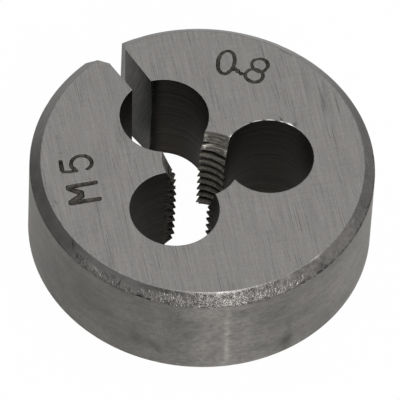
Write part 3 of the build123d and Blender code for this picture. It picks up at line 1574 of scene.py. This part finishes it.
@dataclass
class Split:
    """The sawn slot out through the rim and the groove for the spreading screw across its mouth."""

    radius: float
    height: float
    inner_end: float
    hole_end: float = 7.9
    slot_width: float = 1.58
    slot_offset: float = 0.2
    left_shift: float = 0.24
    right_shift: float = 0.08
    foot_drift: float = -0.058
    top_drift: float = 0.035
    groove_angle: float = 60.0
    groove_depth: float = 2.87
    groove_offset: float = 0.38
    groove_lean: float = 7.0
    edge_width: float = 0.04
    edge_depth: float = 0.01

    def flared(self, outline: Sequence[Point]) -> list[Point]:
        """An outline with all its sides moved outwards by twice the width of a dressed edge.

        Args:
            outline: Its corners, counterclockwise.

        Returns:
            The corners of the wider outline.
        """
        points = [Vector(point) for point in outline]
        sides = [(b - a).normalized() for a, b in zip(points, points[1:] + points[:1])]
        wide = []
        for point, before, after in zip(points, sides[-1:] + sides[:-1], sides):
            out = Vector((before.y + after.y, -before.x - after.x))
            reach = 2 * self.edge_width / out.dot(Vector((after.y, -after.x)))
            wide.append(tuple(point + out * reach))
        return wide

    def prism(
        self,
        name: str,
        foot: Sequence[Point],
        top: Sequence[Point],
        wall: bpy.types.Material,
        edge: bpy.types.Material,
    ) -> bpy.types.Object:
        """An upright prism that flares a little at both faces of the die.

        Args:
            name: The object's name.
            foot: Its corners at the bottom face, counterclockwise.
            top: Its corners at the marked face.
            wall: The material of its sides.
            edge: The material of the flares.

        Returns:
            The cutter in millimetres.
        """
        proud = self.edge_depth
        levels = {
            -proud: self.flared(foot),
            proud: foot,
            self.height - proud: top,
            self.height + proud: self.flared(top),
        }
        rows = [[(x, y, z) for x, y in points] for z, points in levels.items()]
        return closed_rows(name, rows, [edge, wall, edge])

    def slot(self, left_shift: float, right_shift: float, drift: float) -> list[Point]:
        """The outline of the slot at one face, as far as the die has closed and twisted round it.

        Args:
            left_shift: How far its left wall stands off towards +X.
            right_shift: How far its right wall does, where it meets the chip hole.
            drift: How far the right wall drifts on towards +X, for each millimetre outwards.

        Returns:
            Its corners, counterclockwise.
        """
        left = self.slot_offset - self.slot_width / 2 + left_shift
        right = self.slot_offset + self.slot_width / 2 + right_shift
        inner, outer = self.inner_end, self.radius + self.groove_depth
        near, far = (right + drift * (y - self.hole_end) for y in (inner, outer))
        return [(left, inner), (near, inner), (far, outer), (left, outer)]

    def cutters(self, materials: Materials) -> list[bpy.types.Object]:
        """The slot and the groove.

        Args:
            materials: The materials by region.

        Returns:
            Two cutters in millimetres.
        """
        foot = self.slot(self.left_shift, self.right_shift, self.foot_drift)
        top = self.slot(0.0, 0.0, self.top_drift)
        apex = Vector((self.groove_offset, self.radius - self.groove_depth))
        flank = 2 * self.groove_depth / math.cos(math.radians(self.groove_angle / 2))
        turns = [math.radians(90.0 + self.groove_lean + side * self.groove_angle / 2) for side in (-1, 1)]
        groove = [tuple(apex), *(tuple(apex + flank * Vector((math.cos(t), math.sin(t)))) for t in turns)]
        edge = materials[Region.EDGE]
        return [
            self.prism("slot", foot, top, materials[Region.SLOT], edge),
            self.prism("groove", groove, groove, materials[Region.GROOVE], edge),
        ]


@dataclass
class ScrewCones:
    """The two conical recesses in the rim for the closing screws."""

    radius: float
    height: float
    slot_angle: float = 90.0
    from_slot: float = 45.0
    diameter: float = 2.6
    cone_angle: float = 90.0
    segments: int = 64

    def cutters(self, materials: Materials) -> list[bpy.types.Object]:
        """One cone each side of the slot.

        Args:
            materials: The materials by region.

        Returns:
            Two cutters in millimetres.
        """
        depth = self.diameter / 2 / math.tan(math.radians(self.cone_angle / 2))
        builder = TreeBuilder("screw_cone")
        cone = turned(builder, builder.start(), builder.size("Segments", integer=True))
        tree = builder.finish(cone, {materials[Region.EDGE]: None})
        outline = [(0.0, 2 * depth), (self.diameter, 2 * depth), (0.0, 0.0)]
        made = []
        for side in (-1, 1):
            thing = grow(polyline("screw_cone", outline), tree, segments=self.segments)
            turn = math.radians(self.slot_angle + side * self.from_slot)
            tip = self.radius - depth
            place = Matrix.Translation((tip * math.cos(turn), tip * math.sin(turn), self.height / 2))
            thing.data.transform(place @ Matrix.Rotation(turn, 4, "Z") @ Matrix.Rotation(math.pi / 2, 4, "Y"))
            made.append(thing)
        return made


@dataclass
class PunchedMarks:
    """The thread size and pitch, punched by hand beside the holes.

    Each stroke is a list of points: their place on the face and half the stroke's width there. One
    that ends where it starts is a loop, and one of a few points is straight between them.
    """

    height: float
    sunk: float = 0.02
    spread: float = 0.01
    roundness: float = 0.7
    step: float = 0.04
    section_points: int = 16
    blunt_end: float = 0.01
    few_points: int = 3
    rim_width: float = 0.06
    rim_flatness: float = 0.06
    strokes: tuple[tuple[Point, ...], ...] = (
        ((-10.23, 2.22, 0.2), (-7.97, 1.26, 0.18)),
        ((-9.6, 3.49, 0.19), (-7.38, 2.61, 0.17)),
        ((-9.6, 3.45, 0.17), (-8.8, 2.31, 0.25)),
        ((-8.82, 2.27, 0.26), (-10.19, 2.23, 0.18)),
        ((-8.52, 5.75, 0.15), (-8.99, 4.78, 0.17)),
        ((-9.06, 4.82, 0.13), (-8.67, 4.56, 0.11), (-7.95, 4.25, 0.14)),
        (
            (-8.07, 4.37, 0.15),
            (-8.18, 4.79, 0.15),
            (-7.93, 5.16, 0.14),
            (-7.48, 5.32, 0.13),
            (-7.05, 5.21, 0.13),
            (-6.76, 4.91, 0.15),
            (-6.69, 4.47, 0.15),
            (-6.86, 4.17, 0.14),
            (-7.19, 4.01, 0.12),
            (-7.5, 4.02, 0.1),
        ),
        (
            (6.31, 6.86, 0.14),
            (6.74, 7.08, 0.12),
            (7.22, 7.03, 0.11),
            (7.39, 6.69, 0.13),
            (7.25, 6.23, 0.14),
            (6.85, 5.74, 0.14),
            (6.31, 5.46, 0.13),
            (5.83, 5.47, 0.13),
            (5.66, 5.86, 0.14),
            (5.92, 6.45, 0.15),
            (6.31, 6.86, 0.14),
        ),
        ((6.44, 5.5, 0.15), (6.87, 5.32, 0.17)),
        ((6.85, 5.29, 0.17), (6.68, 4.94, 0.18)),
        ((6.68, 4.94, 0.15), (6.98, 4.68, 0.14)),
        (
            (7.9, 4.93, 0.12),
            (8.18, 5.24, 0.11),
            (8.57, 5.23, 0.1),
            (8.94, 4.91, 0.13),
            (8.94, 4.42, 0.15),
            (8.58, 4.14, 0.12),
            (8.14, 4.12, 0.11),
            (7.9, 4.4, 0.12),
            (7.9, 4.93, 0.12),
        ),
        (
            (7.03, 4.59, 0.12),
            (7.37, 4.73, 0.11),
            (7.75, 4.68, 0.11),
            (8.06, 4.38, 0.13),
            (8.12, 3.95, 0.13),
            (7.94, 3.65, 0.13),
            (7.54, 3.53, 0.14),
            (7.16, 3.66, 0.14),
            (6.92, 4.07, 0.14),
            (7.03, 4.59, 0.12),
        ),
    )

    def tree(self, material: bpy.types.Material) -> bpy.types.NodeTree:
        """The tree that gives each stroke a round section and round ends, and joins them.

        Args:
            material: What the strokes leave on the face.

        Returns:
            The tree, with an input for how much wider and how much flatter the strokes are.
        """
        builder = TreeBuilder("punched_strokes")
        nodes = builder.nodes
        wider = builder.size("Wider")
        flatness = builder.size("Flatness")
        step = builder.size("Step")
        lift = builder.size("Lift")
        values = {"Curve": builder.start(), "Length": step}
        path = nodes.out("GeometryNodeResampleCurve", {"mode": "LENGTH"}, values)
        radius = nodes.out("GeometryNodeInputRadius") + wider
        along = nodes.out("GeometryNodeSplineParameter", output="Length")
        whole = nodes.out("GeometryNodeSplineLength", output="Length")
        closed = nodes.out("GeometryNodeInputSplineCyclic")
        left = nodes.math("MINIMUM", nodes.math("MINIMUM", along, whole - along) / radius, 1.0)
        left = nodes.math("MAXIMUM", left, closed)
        swell = nodes.math("SQRT", 1.0 + self.blunt_end - (1.0 - left) ** 2.0) * radius
        path = nodes.out("GeometryNodeSetCurveNormal", {"mode": "Z_UP"}, {"Curve": path})
        values = {"Resolution": self.section_points, "Radius": 1.0}
        circle = nodes.out("GeometryNodeCurvePrimitiveCircle", values=values)
        values = {"Curve": path, "Profile Curve": circle, "Scale": swell, "Fill Caps": True}
        tube = nodes.out("GeometryNodeCurveToMesh", values=values)
        up = nodes.out("ShaderNodeCombineXYZ", values={"Z": lift})
        flat = nodes.out("ShaderNodeCombineXYZ", values={"X": 1.0, "Y": 1.0, "Z": flatness})
        tube = nodes.out("GeometryNodeTransform", values={"Geometry": tube, "Translation": up, "Scale": flat})
        settings = {"operation": "UNION", "solver": "EXACT"}
        joined = nodes.out("GeometryNodeMeshBoolean", settings, {"Mesh 2": tube, "Self Intersection": True})
        return builder.finish(joined, {material: None})

    def curve(self, name: str) -> bpy.types.Object:
        """The strokes as Bezier curves on the ground, each point with its half width as radius.

        Args:
            name: The object's name.

        Returns:
            The curve object.
        """
        curve = bpy.data.curves.new(name, "CURVE")
        curve.dimensions = "3D"
        for stroke in self.strokes:
            loop = stroke[0] == stroke[-1]
            places = stroke[:-1] if loop else stroke
            handle = "AUTO" if len(places) > self.few_points else "VECTOR"
            spline = curve.splines.new("BEZIER")
            spline.use_cyclic_u = loop
            spline.bezier_points.add(len(places) - 1)
            for point, (x, y, half_width) in zip(spline.bezier_points, places):
                point.co = (x, y, 0.0)
                point.radius = half_width
                point.handle_left_type = handle
                point.handle_right_type = handle
        return linked(name, curve)

    def cutters(self, materials: Materials) -> list[bpy.types.Object]:
        """The worn rims of the strokes and then the strokes, each as one closed cutter.

        Args:
            materials: The materials by region.

        Returns:
            Two cutters in millimetres.
        """
        made = []
        for name, region, wider, flatness, lift in (
            ("punched_rims", Region.EDGE, self.rim_width, self.rim_flatness, self.height),
            ("punched_marks", Region.MARK, self.spread, self.roundness, self.height + self.sunk),
        ):
            sizes = {"wider": wider, "flatness": flatness, "step": self.step, "lift": lift}
            made.append(grow(self.curve(name), self.tree(materials[region]), **sizes))
        return made


@dataclass
class SplitDie:
    """The whole die, cut from its blank in the order in which it is made."""

    sharp_angle: float = 28.0
    node: str = "split_die"
    body: str = "root"
    finish_slot: str = "ground_steel"

    def build(self) -> bpy.types.Object:
        """Makes the die around the frame's node.

        Returns:
            The finished piece in metres.
        """
        low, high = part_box(self.node)
        radius, height = min(-low[0], -low[1], high[0]) / MM, high[2] / MM
        materials = {Region(finish.name): finish.material() for finish in finishes(radius, height)}
        piece = Blank(radius, height).build(materials)
        bore = ThreadedBore(height)
        holes = ChipHoles(height, bore.hole_reach)
        split = Split(radius, height, bore.hole_reach)
        cutters = [
            holes.cutter(materials),
            bore.bore_cutter(materials),
            *bore.lead_in_cutters(materials),
            bore.thread_cutter(materials),
            *split.cutters(materials),
            *ScrewCones(radius, height).cutters(materials),
            *PunchedMarks(height).cutters(materials),
        ]
        for cutter in cutters:
            name = cutter.name
            carve(piece, cutter)
            log.info("cut %s, %d faces", name, len(piece.data.polygons))
        self.dress(piece)
        return piece

    def crease(self, mesh: bpy.types.Mesh) -> None:
        """Marks as sharp what turns by more than the sharp angle, and every border of a finish.

        Args:
            mesh: The mesh to mark.
        """
        mesh.shade_smooth()
        mesh.set_sharp_from_angle(angle=math.radians(self.sharp_angle))
        finish_of: dict[int, int] = {}
        borders: set[int] = set()
        for face in mesh.polygons:
            for corner in face.loop_indices:
                edge = mesh.loops[corner].edge_index
                if finish_of.setdefault(edge, face.material_index) != face.material_index:
                    borders.add(edge)
        sharp = mesh.attributes.get("sharp_edge") or mesh.attributes.new("sharp_edge", "BOOLEAN", "EDGE")
        for edge in borders:
            sharp.data[edge].value = True

    def dress(self, piece: bpy.types.Object) -> None:
        """Brings the piece to metres, smooths its round faces and hands it to the frame.

        Args:
            piece: The cut blank in millimetres.
        """
        mesh = piece.data
        mesh.transform(Matrix.Scale(MM, 4))
        self.crease(mesh)
        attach(piece, self.body)
        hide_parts(self.node)
        log.info("piece %s: %d faces", piece.name, len(mesh.polygons))


@dataclass(frozen=True)
class Lamp:
    """A square area lamp that faces the die.

    Its azimuth is counted to the right of the camera's, both angles are in degrees, and its
    distance and its side are in metres.
    """

    name: str
    azimuth: float
    elevation: float
    distance: float
    side: float
    watts: float


@dataclass
class Studio:
    """The pale floor, the soft lamps and the camera of the picture.

    The camera's distance and aim and the height that it aims at are in millimetres, and the size
    of the floor is in metres.
    """

    azimuth: float = -37.7
    elevation: float = 53.78
    roll: float = 3.04
    distance: float = 517.0
    aim: Point = (-0.19, -2.885)
    lens: float = 645.0
    sensor: float = 36.0
    top: float = 9.0
    floor_half: float = 0.6
    floor_grey: float = 0.8
    floor_roughness: float = 0.9
    floor_specular: float = 0.2
    floor_white: float = 0.985
    floor_mirrored: float = 0.5
    sides_light: float = 0.42
    sides_slope: float = 0.28
    overhead_height: float = 0.75
    fill_light: float = 0.55
    lamps: tuple[Lamp, ...] = (
        Lamp("overhead_lamp", 160.0, 70.0, 0.9, 1.0, 0.9),
        Lamp("key_lamp", 20.0, 40.0, 0.6, 0.05, 0.7),
        Lamp("front_softbox", 8.0, 35.0, 0.8, 0.3, 0.5),
    )

    def around(self, azimuth: float, elevation: float) -> Vector:
        """A direction from the die, its azimuth counted to the right of the camera's."""
        a, e = math.radians(self.azimuth + azimuth), math.radians(elevation)
        return Vector((math.sin(a) * math.cos(e), -math.cos(a) * math.cos(e), math.sin(e)))

    def camera(self) -> None:
        """Sets the camera where the picture was taken from."""
        back = self.around(0.0, self.elevation)
        level = Vector((math.cos(math.radians(self.azimuth)), math.sin(math.radians(self.azimuth)), 0.0))
        upright = back.cross(level)
        roll = math.radians(self.roll)
        right = math.cos(roll) * level + math.sin(roll) * upright
        up = -math.sin(roll) * level + math.cos(roll) * upright
        centre = Vector((0.0, 0.0, self.top))
        place = centre + self.distance * back
        target = centre + self.aim[0] * right + self.aim[1] * up
        backward = (place - target).normalized()
        side = up.cross(backward).normalized()
        upward = backward.cross(side)
        data = bpy.data.cameras.new("camera")
        data.lens = self.lens
        data.sensor_width = self.sensor
        thing = linked("camera", data)
        turned_to = Matrix((side, upward, backward)).transposed().to_4x4()
        thing.matrix_world = Matrix.Translation(place * MM) @ turned_to
        bpy.context.scene.camera = thing

    def light(self, lamp: Lamp) -> None:
        """Sets a lamp in its place.

        Args:
            lamp: The lamp.
        """
        data = bpy.data.lights.new(lamp.name, "AREA")
        data.size = lamp.side
        data.energy = lamp.watts
        direction = self.around(lamp.azimuth, lamp.elevation)
        thing = linked(lamp.name, data)
        thing.location = direction * lamp.distance
        thing.rotation_euler = direction.to_track_quat("Z", "Y").to_euler()

    def floor(self) -> None:
        """A pale floor that the camera sees nearly white and that keeps a soft shadow."""
        half = self.floor_half
        outline = [(-half, -half, 0.0), (half, -half, 0.0), (half, half, 0.0), (-half, half, 0.0)]
        thing = mesh_object("floor", outline, [(0, 1, 2, 3)])
        material = bpy.data.materials.new("floor")
        material.use_nodes = True
        nodes = NodeWriter(material.node_tree)
        shader = material.node_tree.nodes["Principled BSDF"]
        shader.inputs["Base Color"].default_value = (self.floor_grey, self.floor_grey, self.floor_grey, 1.0)
        shader.inputs["Roughness"].default_value = self.floor_roughness
        shader.inputs["Specular IOR Level"].default_value = self.floor_specular
        glow = nodes.out("ShaderNodeEmission", values={"Strength": 1.0})
        ray = nodes.rays()
        seen = nodes.math("MAXIMUM", ray["Camera"], ray["Transmission"])
        share = nodes.math("MAXIMUM", seen * self.floor_white, ray["Glossy"] * self.floor_mirrored)
        lit = Socket(nodes, shader.outputs[0])
        mixed = nodes.out("ShaderNodeMixShader", values={0: share, 1: lit, 2: glow})
        output = material.node_tree.nodes["Material Output"]
        material.node_tree.links.new(mixed.link, output.inputs["Surface"])
        thing.data.materials.append(material)

    def world(self) -> None:
        """A white background, and soft surroundings that are brighter overhead than at the sides."""
        world = bpy.data.worlds.new("studio")
        bpy.context.scene.world = world
        world.use_nodes = True
        nodes = NodeWriter(world.node_tree)
        nodes.tree.nodes.clear()
        ray = nodes.rays()
        direction = nodes.out("ShaderNodeTexCoord", output="Generated")
        height = nodes.vector("DOT_PRODUCT", direction, UP)
        right = nodes.vector("DOT_PRODUCT", direction, tuple(self.around(90.0, 0.0)))
        overhead = nodes.step(height, 0.0, self.overhead_height)
        sides = self.sides_light + right * self.sides_slope
        mirrored = sides + overhead * (1.0 - sides)
        seen = nodes.math("MAXIMUM", ray["Camera"], ray["Transmission"])
        unseen = ray["Glossy"] * mirrored + (1.0 - ray["Glossy"]) * self.fill_light
        strength = seen + (1.0 - seen) * unseen
        values = {"Color": (1.0, 1.0, 1.0, 1.0), "Strength": strength}
        background = nodes.out("ShaderNodeBackground", values=values)
        nodes.node("ShaderNodeOutputWorld", values={"Surface": background})

    def build(self) -> None:
        """Sets the camera, the floor, the world and the lamps."""
        self.camera()
        self.floor()
        self.world()
        for lamp in self.lamps:
            self.light(lamp)
        bpy.context.scene.view_settings.view_transform = "Standard"


def main() -> None:
    """Builds the die and its studio, and logs how many faces the die has as it is cut."""
    logging.basicConfig(level=logging.INFO, format="%(name)s: %(message)s")
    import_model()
    Studio().build()
    piece = SplitDie().build()
    log.info("built %s", piece.name)


if __name__ == "__main__":
    main()
